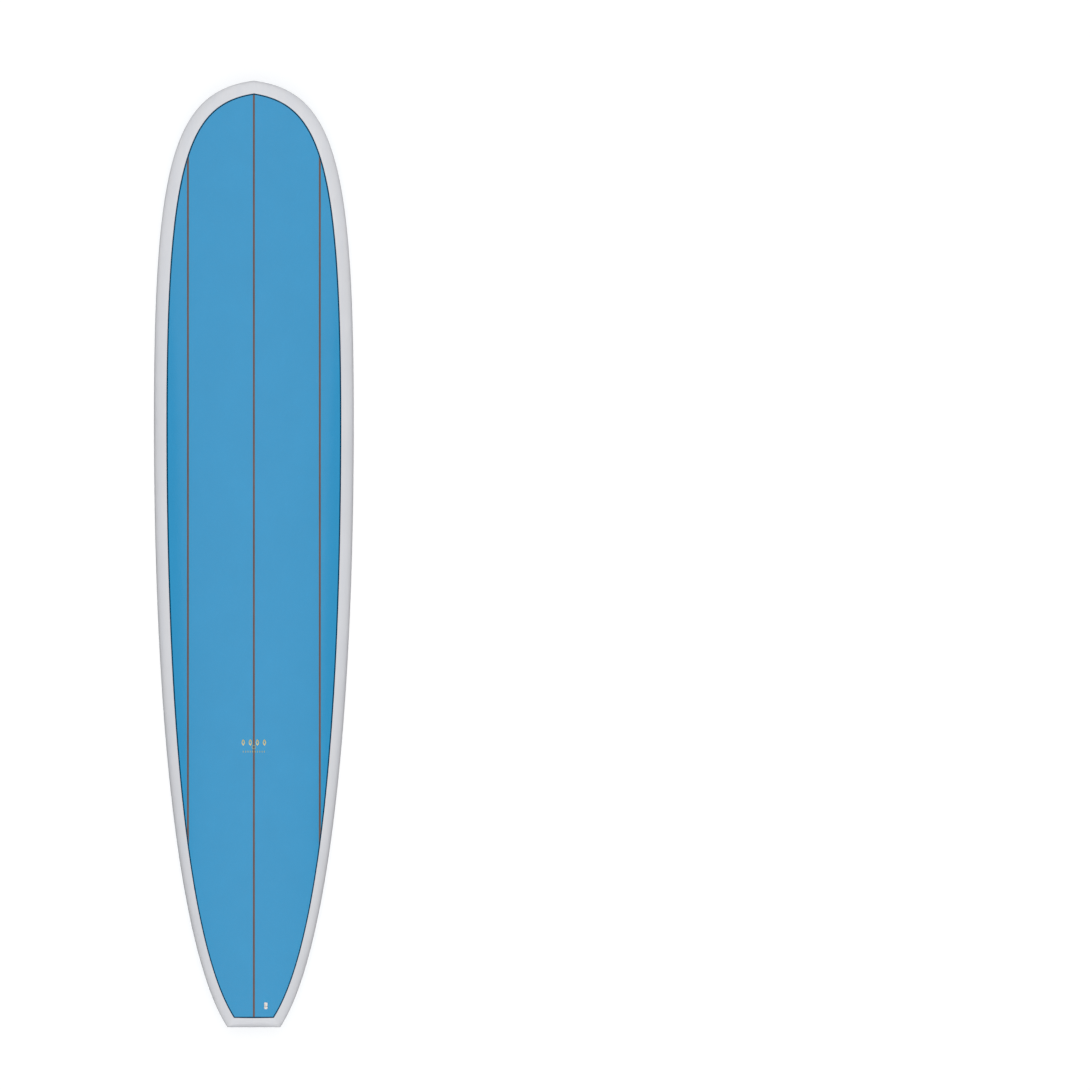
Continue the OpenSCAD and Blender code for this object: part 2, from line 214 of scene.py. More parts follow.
def panel(deck, i, c):
    """Number of the point at station i and place c across the deck or bottom panel."""
    k = 0 if deck else K
    if i == 0:
        return ring(c, k)
    if i == N:
        return ring(F + N - 1, k)
    if c == 0:
        return ring(S - i, k)
    if c == F - 1:
        return ring(F - 1 + i, k)
    return (K + 1) * S + (0 if deck else (N - 1) * (F - 2)) + (i - 1) * (F - 2) + c - 1


SURFACES = {t: surface_pts(t) for t in (0.0, COAT)}
Z_LOW, Z_HIGH = cad_low.z / MM, cad_high.z / MM


def skin_mesh(k0, k1, deck=False, bottom=False):
    """Closed skin, one coat thick, between ring columns k0 and k1, with or without the panels."""
    outer, inner = SURFACES[0.0], SURFACES[COAT]
    m = len(outer)
    faces = [(ring(j, k), ring(j, k + 1), ring(j + 1, k + 1), ring(j + 1, k))
             for k in range(k0, k1) for j in range(S)]
    for on, upper in ((deck, True), (bottom, False)):
        if not on:
            continue
        grid = [(panel(upper, i, c), panel(upper, i, c + 1),
                 panel(upper, i + 1, c + 1), panel(upper, i + 1, c))
                for i in range(N - 1) for c in range(F - 1)]
        grid += [(panel(upper, N - 1, c), panel(upper, N - 1, c + 1), panel(upper, N, 0))
                 for c in range(F - 1)]
        faces += grid if upper else [q[::-1] for q in grid]
    back = [tuple(m + v for v in reversed(q)) for q in faces]
    walls = []
    for k, on in ((k0, not deck), (k1, not bottom)):
        if on:
            for j in range(S):
                walls.append((ring(j, k), ring(j + 1, k), m + ring(j + 1, k), m + ring(j, k)))
    pts = outer + inner
    used = sorted({v for q in faces + back + walls for v in q})
    order = {v: n for n, v in enumerate(used)}
    verts = [(x * MM, y * MM, min(max(z, Z_LOW), Z_HIGH) * MM) for x, y, z in (pts[v] for v in used)]
    return verts, [tuple(order[v] for v in q) for q in faces + back + walls]


# ---------------------------------------------------------------- mesh helpers
def new_object(name, verts, faces):
    me = bpy.data.meshes.new(name)
    me.from_pydata(verts, [], faces)
    bm = bmesh.new()
    bm.from_mesh(me)
    bmesh.ops.recalc_face_normals(bm, faces=bm.faces)
    bm.to_mesh(me)
    bm.free()
    ob = bpy.data.objects.new(name, me)
    bpy.context.scene.collection.objects.link(ob)
    return ob


def smooth(ob, angle=32):
    """Smooth shading with sharp edges above an angle."""
    bm = bmesh.new()
    bm.from_mesh(ob.data)
    limit = math.radians(angle)
    for f in bm.faces:
        f.smooth = True
    for e in bm.edges:
        e.smooth = len(e.link_faces) == 2 and e.calc_face_angle(0) < limit
    bm.to_mesh(ob.data)
    bm.free()


def boolean(ob, cutter, operation="DIFFERENCE"):
    mod = ob.modifiers.new("cut", "BOOLEAN")
    mod.operation, mod.object, mod.solver = operation, cutter, "EXACT"
    deps = bpy.context.evaluated_depsgraph_get()
    cut = bpy.data.meshes.new_from_object(ob.evaluated_get(deps))
    ob.modifiers.clear()
    old = ob.data
    ob.data = cut
    bpy.data.meshes.remove(old)


def remove(*obs):
    for ob in obs:
        me = ob.data
        bpy.data.objects.remove(ob)
        bpy.data.meshes.remove(me)


def copy_of(ob, name):
    new = bpy.data.objects.new(name, ob.data.copy())
    bpy.context.scene.collection.objects.link(new)
    return new


def prism(name, outline, z0, z1, place=Matrix()):
    """Closed prism of a 2-D outline in mm, moved by a matrix in mm."""
    n = len(outline)
    pts = [place @ Vector((x, y, z)) for z in (z0, z1) for x, y in outline]
    faces = [tuple(range(n)), tuple(range(2 * n - 1, n - 1, -1))]
    faces += [(a, (a + 1) % n, n + (a + 1) % n, n + a) for a in range(n)]
    return new_object(name, [p * MM for p in pts], faces)


def box_outline(w, length, r, steps=6):
    """Rectangle with corners of radius r."""
    pts = []
    for n, (sx, sy) in enumerate(((1, -1), (1, 1), (-1, 1), (-1, -1))):
        for q in range(steps + 1):
            a = math.radians(-90 + 90 * n + 90 * q / steps)
            pts.append((sx * (w / 2 - r) + r * math.cos(a), sy * (length / 2 - r) + r * math.sin(a)))
    return pts


def circle_outline(r, steps=48, cx=0.0, cy=0.0):
    angles = [2 * math.pi * q / steps for q in range(steps)]
    return [(cx + r * math.cos(a), cy + r * math.sin(a)) for a in angles]


# ---------------------------------------------------------------- frames of the fittings, in mm
def turn(axis, degrees):
    return Matrix.Rotation(math.radians(degrees), 4, axis)


def pitch_at(line, y, length):
    """Slope in degrees of the deck's or bottom's profile line over a length."""
    return math.degrees(math.atan((line(y + length / 2) - line(y - length / 2)) / length))


SLOT_LEN, SLOT_W, SLOT_Y, NOTCH_W, NOTCH_LEN = 269.8, 9.2, -1109.8, 14.4, 11.7
SIDE_LEN, SIDE_W, SIDE_Y, SIDE_X, TOE_IN = 113.5, 6.6, -947.6, 168.8, 2.9
SCREW_TILT, SCREW_R, SCREW_LEN, SCREW_SINK, SCREW_AHEAD = 30, 2.4, 9.5, 1.2, 7.3
HEX_R, HEX_DEPTH, SCREW_MOUTH_GAP = 1.37, 3.5, 0.45
PLUG_X, PLUG_Y, MOUTH_W, MOUTH_LEN, MOUTH_R, PLUG_SINK = 35.0, -1322.0, 10.0, 19.5, 2.2, 1
# Half width of the bottom panel at the side boxes, and length over which the plug's slope is taken
BOTTOM_HALF, PITCH_LEN = 186, 20

SLOT_Z = (bottom_line(SLOT_Y + SLOT_LEN / 2) + bottom_line(SLOT_Y - SLOT_LEN / 2)) / 2
CENTRE = Matrix.Translation((0, SLOT_Y, SLOT_Z)) @ turn("X", pitch_at(bottom_line, SLOT_Y, SLOT_LEN))


def side_place(s):
    lean = -math.degrees(math.atan(2 * BELLY * SIDE_X / BOTTOM_HALF ** 2))
    z = bottom_line(SIDE_Y) + BELLY * (SIDE_X / BOTTOM_HALF) ** 2
    return (Matrix.Translation((s * SIDE_X, SIDE_Y, z)) @ turn("Z", s * TOE_IN) @ turn("Y", s * lean)
            @ turn("X", pitch_at(bottom_line, SIDE_Y, SIDE_LEN)))


def screw_place(s):
    ahead = Matrix.Translation((0, SIDE_LEN / 2 + SCREW_AHEAD, 0))
    return side_place(s) @ ahead @ turn("X", SCREW_TILT)


PLUG = (Matrix.Translation((PLUG_X, PLUG_Y, deck_line(PLUG_Y) - PLUG_SINK))
        @ turn("X", 180 + pitch_at(deck_line, PLUG_Y, PITCH_LEN)))


# ---------------------------------------------------------------- materials
def srgb(r, g, b):
    """Linear colour of an 8-bit display colour."""
    shares = (c / 255 for c in (r, g, b))
    return tuple(c / 12.92 if c <= 0.04045 else ((c + 0.055) / 1.055) ** 2.4 for c in shares) + (1,)


class Maker:
    """A material under construction: short calls for its nodes and links."""

    def __init__(self, name, **sockets):
        self.mat = bpy.data.materials.new(name)
        self.mat.use_nodes = True
        self.tree = self.mat.node_tree
        self.shader = self.tree.nodes["Principled BSDF"]
        for key, value in sockets.items():
            self.shader.inputs[key.replace("_", " ")].default_value = value
        self.coords = self.tree.nodes.new("ShaderNodeTexCoord").outputs["Object"]

    def node(self, kind, inputs=(), **attrs):
        n = self.tree.nodes.new("ShaderNode" + kind)
        for key, value in attrs.items():
            setattr(n, key, value)
        for key, value in dict(inputs).items():
            self.put(value, n.inputs[key])
        return n

    def put(self, value, socket):
        if isinstance(value, bpy.types.NodeSocket):
            self.tree.links.new(value, socket)
        else:
            socket.default_value = value

    def mapped(self, scale=(1, 1, 1), turn_z=0.0):
        n = self.node("Mapping", {"Vector": self.coords, "Scale": scale, "Rotation": (0, 0, turn_z)})
        return n.outputs["Vector"]

    def noise(self, scale, detail=3.0, rough=0.5, vector=None, stretch=None):
        v = vector or (self.mapped(stretch) if stretch else self.coords)
        n = self.node("TexNoise", {"Vector": v, "Scale": scale, "Detail": detail, "Roughness": rough})
        return n.outputs["Fac"]

    def wave(self, scale, turn_z, distortion):
        v = self.mapped(turn_z=turn_z)
        return self.node("TexWave", {"Vector": v, "Scale": scale, "Distortion": distortion}).outputs["Fac"]

    def math(self, operation, a, b=0.0):
        return self.node("Math", {0: a, 1: b}, operation=operation).outputs[0]

    def span(self, value, low, high, source=(0.0, 1.0)):
        limits = {"From Min": source[0], "From Max": source[1], "To Min": low, "To Max": high}
        return self.node("MapRange", {"Value": value, **limits}).outputs[0]

    def mix(self, factor, a, b, blend="MIX"):
        n = self.node("Mix", data_type="RGBA", blend_type=blend)
        self.put(factor, n.inputs[0])
        self.put(a, n.inputs[6])
        self.put(b, n.inputs[7])
        return n.outputs[2]

    def bump(self, height, strength, distance):
        n = self.node("Bump", {"Height": height, "Strength": strength, "Distance": distance})
        self.tree.links.new(n.outputs["Normal"], self.shader.inputs["Normal"])

    def colour(self, value):
        self.put(value, self.shader.inputs["Base Color"])

    def rough(self, value):
        self.put(value, self.shader.inputs["Roughness"])


def clear_coat(weight, specular):
    """Sockets of a clear resin coat over a shader."""
    return {"Coat Weight": weight, "Coat Roughness": 0.12, "Specular IOR Level": specular,
            "Coat IOR": 1.5, "IOR": 1.5}


def waves(pitch):
    """Wave texture scale that gives bands this far apart, in metres."""
    return 2 * math.pi / (20 * pitch)


def cloth_weave(m, pitch=0.0016):
    """Plain weave laid at 45 degrees: over-and-under cells of two crossed threads, 0 to 1."""
    a = m.wave(waves(pitch), math.radians(45), 0.25)
    b = m.wave(waves(pitch), math.radians(-45), 0.25)
    over = m.math("MULTIPLY", a, m.math("SUBTRACT", 1.0, b))
    under = m.math("MULTIPLY", b, m.math("SUBTRACT", 1.0, a))
    return m.math("ADD", over, under)


def specks(m, spacing, size):
    """Scattered round specks such as pinholes and dust, 1 at their middles."""
    near = m.node("TexVoronoi", {"Vector": m.coords, "Scale": 1 / spacing}).outputs["Distance"]
    return m.span(near, 1.0, 0.0, (0.2 * size / spacing, size / spacing))


def scratches(m, turn_z):
    """Fine straight rubbing marks along one direction, 0 to 1."""
    v = m.node("Mapping", {"Vector": m.mapped(turn_z=turn_z), "Scale": (1400.0, 14.0, 1400.0)})
    v = v.outputs["Vector"]
    return m.span(m.noise(1.0, 2.0, 0.5, vector=v), 0.0, 1.0, (0.62, 0.8))


def resin_material(name, rgb, spread=0.03, gloss=0.32, coat=0.25):
    """Tinted resin over glass cloth under a clear rubbed coat."""
    base = srgb(*rgb)
    m = Maker(name, **clear_coat(coat, coat * 0.4))
    clouds = m.noise(9.0, 4.0, 0.55)
    streaks = m.noise(5.0, 5.0, 0.6, stretch=(9.0, 0.9, 9.0))
    weave = cloth_weave(m)
    col = m.mix(m.span(clouds, 0.0, 1.0, (0.3, 0.7)), tint(base, 1 - spread), tint(base, 1 + spread))
    col = m.mix(m.span(streaks, 0.0, 0.6, (0.35, 0.65)), col, base)
    col = m.mix(m.span(weave, 0.16, 0.0), col, tint(base, 0.55))
    col = m.mix(m.span(weave, 0.0, 0.3, (0.6, 1.0)), col, tint(base, 1.3))
    rubbed = m.math("ADD", scratches(m, 0.5), scratches(m, -0.9))
    col = m.mix(m.math("MULTIPLY", rubbed, 0.25), col, tint(base, 1.5))
    pin = specks(m, 0.011, 0.0005)
    m.colour(m.mix(m.math("MULTIPLY", pin, 0.35), col, tint(base, 0.5)))
    fine = m.noise(900.0, 2.0, 0.6)
    m.rough(m.math("ADD", m.span(fine, gloss - 0.06, gloss + 0.08), m.math("MULTIPLY", rubbed, 0.12)))
    height = m.math("ADD", m.math("MULTIPLY", weave, 0.6), m.noise(45.0, 3.0, 0.5))
    m.bump(m.math("SUBTRACT", height, m.math("ADD", pin, m.math("MULTIPLY", rubbed, 0.2))), 0.3, 0.00025)
    return m.mat


def tint(base, k):
    return tuple(c * k for c in base[:3]) + (1,)


def wood_under_resin(name, rgb, dark):
    """Edge grain of a stringer seen through tinted resin."""
    m = Maker(name, **clear_coat(0.1, 0.04))
    grain = m.noise(1.0, 5.0, 0.65, stretch=(420.0, 5.0, 5.0))
    pores = m.noise(1.0, 2.0, 0.5, stretch=(2600.0, 70.0, 70.0))
    shade = m.noise(14.0, 3.0, 0.5)
    col = m.mix(m.span(grain, 0.0, 1.0, (0.32, 0.68)), srgb(*dark), srgb(*rgb))
    col = m.mix(m.span(shade, 0.0, 0.3, (0.35, 0.7)), col, tint(srgb(*rgb), 1.15))
    col = m.mix(m.span(pores, 0.0, 0.6, (0.55, 0.72)), col, tint(srgb(*dark), 0.7))
    m.colour(m.mix(m.span(cloth_weave(m), 0.12, 0.0), col, tint(srgb(*dark), 0.6)))
    m.rough(m.span(grain, 0.3, 0.42))
    m.bump(m.math("SUBTRACT", grain, pores), 0.25, 0.0002)
    return m.mat


def white_rail():
    """Off-white sanded and polished resin of the rails."""
    m = Maker("rail_white", **clear_coat(0.25, 0.1))
    base = srgb(*RAIL_RGB)
    clouds = m.noise(7.0, 4.0, 0.55)
    strokes = m.noise(4.0, 5.0, 0.6, stretch=(16.0, 1.1, 16.0))
    weave = cloth_weave(m)
    col = m.mix(m.span(clouds, 0.0, 1.0, (0.3, 0.7)), tint(base, 0.97), tint(base, 1.03))
    warm = srgb(*(c - d for c, d in zip(RAIL_RGB, (6, 4, 1))))
    col = m.mix(m.span(strokes, 0.0, 0.5, (0.4, 0.65)), col, warm)
    col = m.mix(m.span(weave, 0.07, 0.0), col, tint(base, 0.6))
    rubbed = m.math("ADD", scratches(m, 0.25), scratches(m, -0.35))
    col = m.mix(m.math("MULTIPLY", rubbed, 0.12), col, tint(base, 0.7))
    dust = specks(m, 0.014, 0.0006)
    m.colour(m.mix(m.math("MULTIPLY", dust, 0.4), col, srgb(150, 146, 138)))
    m.rough(m.math("ADD", m.span(m.noise(700.0, 2.0, 0.6), 0.28, 0.42), m.math("MULTIPLY", rubbed, 0.1)))
    height = m.math("ADD", m.math("MULTIPLY", weave, 0.35), m.noise(38.0, 4.0, 0.5))
    m.bump(m.math("SUBTRACT", height, m.math("MULTIPLY", rubbed, 0.25)), 0.28, 0.0003)
    return m.mat


def foam():
    """Closed-cell foam."""
    m = Maker("foam", Roughness=0.9, IOR=1.4)
    cells = m.node("TexVoronoi", {"Vector": m.coords, "Scale": 420.0}).outputs["Distance"]
    shade = m.noise(40.0, 4.0)
    col = m.mix(m.span(shade, 0, 1, (0.3, 0.7)), (0.80, 0.77, 0.66, 1), (0.88, 0.86, 0.77, 1))
    m.colour(m.mix(m.span(cells, 0.0, 0.25, (0.2, 0.9)), col, (0.70, 0.66, 0.55, 1)))
    m.rough(m.span(cells, 0.8, 0.95))
    m.bump(cells, 0.5, 0.0006)
    return m.mat


def timber():
    """Long grain of a laminated stringer."""
    m = Maker("stringer_timber", IOR=1.45)
    grain = m.noise(1.0, 6.0, 0.62, stretch=(60.0, 3.0, 260.0))
    v = m.mapped((1.0, 0.05, 1.0))
    rings = m.node("TexWave", {"Vector": v, "Scale": 60.0, "Distortion": 6.0, "Detail": 3.0},
                   bands_direction="Z").outputs["Fac"]
    col = m.mix(m.span(grain, 0, 1, (0.3, 0.7)), srgb(118, 78, 52), srgb(168, 122, 84))
    m.colour(m.mix(m.span(rings, 0.0, 0.4), col, srgb(96, 62, 42)))
    m.rough(m.span(grain, 0.5, 0.72))
    m.bump(grain, 0.25, 0.0004)
    return m.mat


def laminate():
    """Glass cloth wetted out with resin."""
    m = Maker("glass_laminate", IOR=1.5)
    weave = cloth_weave(m)
    shade = m.noise(25.0, 3.0)
    col = m.mix(m.span(shade, 0, 1, (0.3, 0.7)), (0.52, 0.62, 0.58, 1), (0.62, 0.70, 0.66, 1))
    m.colour(m.mix(m.span(weave, 0.0, 0.4), col, (0.78, 0.84, 0.8, 1)))
    m.rough(m.span(weave, 0.2, 0.4))
    m.bump(weave, 0.3, 0.0003)
    return m.mat


def resin_bed():
    """Resin thickened with chopped fibre."""
    m = Maker("resin_bed", IOR=1.5)
    fibres = m.noise(300.0, 5.0, 0.7, stretch=(3.0, 1.0, 1.0))
    col = m.mix(m.span(fibres, 0, 1, (0.35, 0.65)), (0.62, 0.58, 0.45, 1), (0.78, 0.75, 0.64, 1))
    m.colour(col)
    m.rough(m.span(fibres, 0.3, 0.55))
    m.bump(fibres, 0.4, 0.0004)
    return m.mat


def moulded(name, rgb, spread=0.05):
    """Moulded plastic with a fine spark texture and faint flow marks."""
    m = Maker(name, IOR=1.46)
    base = srgb(*rgb)
    flow = m.noise(30.0, 4.0, 0.6, stretch=(2.0, 0.4, 2.0))
    speck = m.noise(2600.0, 2.0, 0.6)
    col = m.mix(m.span(flow, 0, 1, (0.3, 0.7)), tint(base, 1 - spread), tint(base, 1 + spread))
    m.colour(m.mix(m.span(speck, 0.0, 0.1, (0.4, 0.7)), col, tint(base, 0.8)))
    m.rough(m.span(speck, 0.42, 0.6))
    m.bump(speck, 0.12, 0.0001)
    return m.mat


def steel(name, tone):
    """Drawn or turned stainless steel."""
    m = Maker(name, Metallic=1.0)
    lines = m.noise(1.0, 4.0, 0.6, stretch=(300.0, 3000.0, 3000.0))
    smudge = m.noise(160.0, 3.0, 0.5)
    dark, light, stain = (tint(c, tone) for c in ((0.85, 0.85, 0.83), (1.1, 1.09, 1.05), (0.7, 0.66, 0.6)))
    col = m.mix(m.span(lines, 0, 1, (0.3, 0.7)), dark, light)
    m.colour(m.mix(m.span(smudge, 0.0, 0.3, (0.5, 0.8)), col, stain))
    m.rough(m.span(lines, 0.28, 0.45))
    m.bump(lines, 0.1, 0.00005)
    return m.mat


def ink(name, low, high, y_low, y_high, coat=0.12):
    """Printed mark under the clear coat, from one tone at its tail end to another at its nose end; also the
    painted highlight along the crease under the nose.
    """
    m = Maker(name, **clear_coat(coat, 0.05))
    along = m.node("SeparateXYZ", {"Vector": m.coords}).outputs["Y"]
    fade = m.span(along, 0.0, 1.0, (y_low * MM, y_high * MM))
    grains = m.noise(1500.0, 2.0, 0.6)
    col = m.mix(fade, srgb(*low), srgb(*high))
    m.colour(m.mix(m.span(grains, 0.0, 0.18, (0.45, 0.7)), col, tint(srgb(*low), 0.75)))
    m.rough(m.span(grains, 0.3, 0.45))
    m.bump(grains, 0.05, 0.00005)
    return m.mat


RAIL_RGB = (214, 215, 219)
BLUE = resin_material("panel_blue", (42, 144, 194))
BLUE_ONE = resin_material("panel_blue_single_tint", (38, 138, 189))
BLUE_TWO = resin_material("panel_blue_double_tint", (35, 131, 180))
TEAL = resin_material("pinline_teal", (0, 61, 88), 0.08, coat=0.04)
RAIL = white_rail()
WOOD_DECK = wood_under_resin("stringer_seen_deck", (113, 92, 82), (94, 74, 66))
WOOD_RED = wood_under_resin("stringer_seen_bottom", (117, 83, 67), (98, 64, 52))
FOAM, TIMBER, LAMINATE, BED = foam(), timber(), laminate(), resin_bed()
BOX_GREY = moulded("centre_box_grey", (216, 217, 213))
SIDE_GREY = moulded("side_box_grey", (216, 217, 215))
PLUG_WHITE = moulded("plug_white", (255, 252, 249), 0.01)
SCREW_STEEL, BAR_STEEL = steel("screw_steel", 0.28), steel("bar_steel", 0.4)

# Materials of the CAD nodes that show or could show, by a part of the node's name
CAD_LOOKS = {
    "foam_core": FOAM, "stringer": TIMBER, "laminate": LAMINATE, "_bed": BED,
    "centre_fin_box": BOX_GREY, "left_fin_box": SIDE_GREY, "right_fin_box": SIDE_GREY,
    "leash_plug_cup": PLUG_WHITE, "leash_plug_bar": BAR_STEEL,
}


# ---------------------------------------------------------------- skins
def stringer_lines(ob, xs, y_stop=None):
    """Cuts the panel along each stringer's edges and gives the strips the wood's look.

    The strips take material 1. Where the middle one stops at y_stop, what is left of it takes material 2.
    """
    bm = bmesh.new()
    bm.from_mesh(ob.data)
    planes = [x + s * STRINGER_T / 2 for x in xs for s in (-1, 1)]
    for x in planes:
        bmesh.ops.bisect_plane(bm, geom=bm.verts[:] + bm.edges[:] + bm.faces[:], plane_co=(x * MM, 0, 0),
                               plane_no=(1, 0, 0), dist=1e-7)
    if y_stop is not None:
        near = [f for f in bm.faces if abs(f.calc_center_median().x) < STRINGER_T * MM]
        geom = near + list({e for f in near for e in f.edges}) + list({v for f in near for v in f.verts})
        bmesh.ops.bisect_plane(bm, geom=geom, plane_co=(0, y_stop * MM, 0), plane_no=(0, 1, 0), dist=1e-7)
    for f in bm.faces:
        c = f.calc_center_median()
        for x in xs:
            plain = x != 0 or y_stop is None
            if abs(c.x / MM - x) < STRINGER_T / 2 and (plain or c.y / MM > y_stop):
                f.material_index = 1 if plain else 2
    bm.to_mesh(ob.data)
    bm.free()


# Cutters start this far outside the surface and reach well past the coat.
CUT_START = -6
PLUG_DEPTH, SLOT_DEPTH, NOTCH_DEPTH, SIDE_DEPTH, SCREW_MOUTH_DEPTH = 13.5, 20, 14, 19, 3
plug_cut = prism("cut_plug", box_outline(MOUTH_W, MOUTH_LEN, MOUTH_R), CUT_START, PLUG_DEPTH, PLUG)
deck_skin = new_object("deck_panel_skin", *skin_mesh(0, 0, deck=True))
boolean(deck_skin, plug_cut)
stringer_lines(deck_skin, (-STRINGER_X, 0, STRINGER_X))
remove(plug_cut)
for mat in (BLUE, WOOD_DECK):
    deck_skin.data.materials.append(mat)

SLOT_R, SIDE_R = 1.0, 0.8
cutters = [prism("cut_slot", box_outline(SLOT_W, SLOT_LEN, SLOT_R), CUT_START, SLOT_DEPTH, CENTRE),
           prism("cut_notch", box_outline(NOTCH_W, NOTCH_LEN, SLOT_R), CUT_START, NOTCH_DEPTH, CENTRE)]
for s in (-1, 1):
    side_slot, screw_hole = box_outline(SIDE_W, SIDE_LEN, SIDE_R), circle_outline(SCREW_R + SCREW_MOUTH_GAP)
    cutters.append(prism("cut_side", side_slot, CUT_START, SIDE_DEPTH, side_place(s)))
    cutters.append(prism("cut_screw", screw_hole, CUT_START, SCREW_MOUTH_DEPTH, screw_place(s)))
bottom_skin = new_object("bottom_panel_skin", *skin_mesh(K, K, bottom=True))
for cutter in cutters:
    boolean(bottom_skin, cutter)
remove(*cutters)

# Two wide arcs of darker tint cross near the tail.
ARC_X, ARC_Y, ARC_R, ARC_STEPS, ARC_LOW, ARC_HIGH = 1167.0, -2014.0, 1613.0, 720, -20, 200
discs = [prism("cut_arc", circle_outline(ARC_R, ARC_STEPS, s * ARC_X, ARC_Y), ARC_LOW, ARC_HIGH)
         for s in (-1, 1)]
tints = []
for name, ops in (("bottom_tint_left", ("DIFFERENCE", "INTERSECT")),
                  ("bottom_tint_right", ("INTERSECT", "DIFFERENCE")),
                  ("bottom_tint_both", ("INTERSECT", "INTERSECT"))):
    part = copy_of(bottom_skin, name)
    for disc, op in zip(discs, ops):
        boolean(part, disc, op)
    tints.append(part)
for disc in discs:
    boolean(bottom_skin, disc)
remove(*discs)
# The middle stringer's line stops ahead of the marks.
LINE_STOP = -562.0
stringer_lines(bottom_skin, (-STRINGER_X, 0, STRINGER_X), LINE_STOP)
for mat in (BLUE, WOOD_DECK, WOOD_RED):
    bottom_skin.data.materials.append(mat)
for part, mat in zip(tints, (BLUE_ONE, BLUE_ONE, BLUE_TWO)):
    stringer_lines(part, (-STRINGER_X, STRINGER_X))
    part.data.materials.append(mat)
    part.data.materials.append(WOOD_DECK)

deck_line_skin = new_object("deck_pinline_skin", *skin_mesh(0, 1))
bottom_line_skin = new_object("bottom_pinline_skin", *skin_mesh(K - 1, K))
rail_skin = new_object("rail_band_skin", *skin_mesh(1, K - 1))
for ob, mat in ((deck_line_skin, TEAL), (bottom_line_skin, TEAL), (rail_skin, RAIL)):
    ob.data.materials.append(mat)

skins = [(deck_skin, "deck_panel", "panel_blue"), (bottom_skin, "bottom_panel", "panel_blue")]
skins += [(part, "bottom_panel", "panel_blue") for part in tints]
skins += [(deck_line_skin, "deck_pinline", "pinline_teal"),
          (bottom_line_skin, "bottom_pinline", "pinline_teal"), (rail_skin, "rail_band", "rail_white")]
for ob, node, slot in skins:
    smooth(ob)
    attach(ob, "board")
    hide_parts(node)


# ---------------------------------------------------------------- printed marks and a painted highlight along the crease under the nose, all plain shapes
def half_width(edge, y):
    """Half width of a panel at y, by bisection on its border."""
    low, high = (0.0, float(TAIL_STEPS)) if y < WIDE_Y else (float(TAIL_STEPS), float(N))
    for _ in range(40):
        mid = (low + high) / 2
        if border(edge, mid)[1] < y:
            low = mid
        else:
            high = mid
    return border(edge, low)[0]


def on_deck(x, y, t):
    w = half_width(DECK_EDGE, y)
    return deck_pt(w, y, x / w, t)


def on_bottom(x, y, t):
    w = half_width(BOTTOM_EDGE, y)
    return bottom_pt(w, y, x / w, t)


MARK_LIFT, MARK_SINK = -0.05, 0.1


def mark(name, shapes, surface, material):
    """Thin shapes on the surface, printed ones and strokes of painted highlight: outlines about a centre,
    each open by a share of its size.
    """
    verts, faces = [], []
    for (cx, cy), outline, hole in shapes:
        n, base = len(outline), len(verts)
        for t in (MARK_LIFT, MARK_SINK):
            for grow in (1.0, hole):
                verts += [surface(cx + x * grow, cy + y * grow, t) for x, y in outline]
        for a in range(n):
            b = (a + 1) % n
            corners = (0, 2 * n, 3 * n, n, 0)
            faces += [(base + u + a, base + v + a, base + v + b, base + u + b)
                      for u, v in zip(corners, corners[1:])]
    ob = new_object(name, [(x * MM, y * MM, z * MM) for x, y, z in verts], faces)
    ob.data.materials.append(material)
    smooth(ob)
    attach(ob, "board")
    return ob


def lozenge(w, h):
    half = [(0, -h / 2), (w * 0.36, -h / 4), (w / 2, 0), (w * 0.36, h / 4)]
    return half + [(-x, -y) for x, y in half]


def star(r, waist, points=4):
    return [((r if q % 2 == 0 else waist) * math.sin(math.pi * q / points),
             (r if q % 2 == 0 else waist) * math.cos(math.pi * q / points)) for q in range(2 * points)]


GOLD_DECK = ink("gold_print_deck", (222, 206, 128), (172, 162, 88), -562, -541)
FAINT = ink("gold_print_faint", (168, 178, 134), (150, 160, 112), -648, -555)
GOLD_BOTTOM = ink("gold_print_bottom", (226, 212, 126), (176, 164, 80), -617, -590)
DARK = ink("dark_print", (10, 52, 76), (16, 60, 86), -890, -680, 0.05)
# Painted highlight: a slightly lighter blue stands in for the light caught along the edge of the hollow
# under the nose, which is not modelled.
CREASE_PAINTED_HIGHLIGHT = ink("crease_painted_highlight", (84, 165, 203), (78, 160, 200), 402, 737)
# A solid shape is open by this share only.
SOLID = 0.02


def row(count, width, y, outline):
    """Solid shapes side by side over a width."""
    return [((-width / 2 + width * q / (count - 1), y), outline, SOLID) for q in range(count)]


deck_marks = [((x, -551.4), lozenge(9.6, 19.5), 0.5) for x in (-31, -10.4, 10.4, 31)]
mark("deck_mark_gold", deck_marks, on_deck, GOLD_DECK)
deck_marks = [((0, -565.0), circle_outline(6, 28), 0.75)]
deck_marks += row(10, 62, -578.3, box_outline(2.4, 4.8, 0.8, 3))
mark("deck_mark_faint", deck_marks, on_deck, FAINT)
low_marks = [((x, -603.8), lozenge(12.5, 25), 0.45) for x in (-44.7, -14.9, 14.9, 44.7)]
mark("bottom_mark_gold", low_marks, on_bottom, GOLD_BOTTOM)
low_marks = [((0, -622), circle_outline(8.5, 32), 0.76)]
low_marks += row(10, 84, -642, box_outline(3, 7.4, 1.2, 3))
mark("bottom_mark_faint", low_marks, on_bottom, FAINT)
dark_marks = [((0, -702), star(17.5, 5.0), SOLID)]
dark_marks += row(3, 18, -727, box_outline(6.5, 9, 1, 3))
dark_marks += [((x, -739.5), box_outline(w, 3, 1, 3), SOLID) for x, w in ((-14, 9), (0, 12), (14, 9))]
dark_marks += [((0, -783 - 7.4 * q), box_outline(8.2 if q % 3 else 4.2, 3.6, 1, 3), SOLID)
               for q in range(15)]
mark("bottom_mark_dark", dark_marks, on_bottom, DARK)


# Path, stroke width and stroke count of the painted highlight along the crease under the nose.
CREASE, CREASE_W, STROKES = ((0, 402), (60, 432), (165, 567), (188, 737)), 1.2, 22


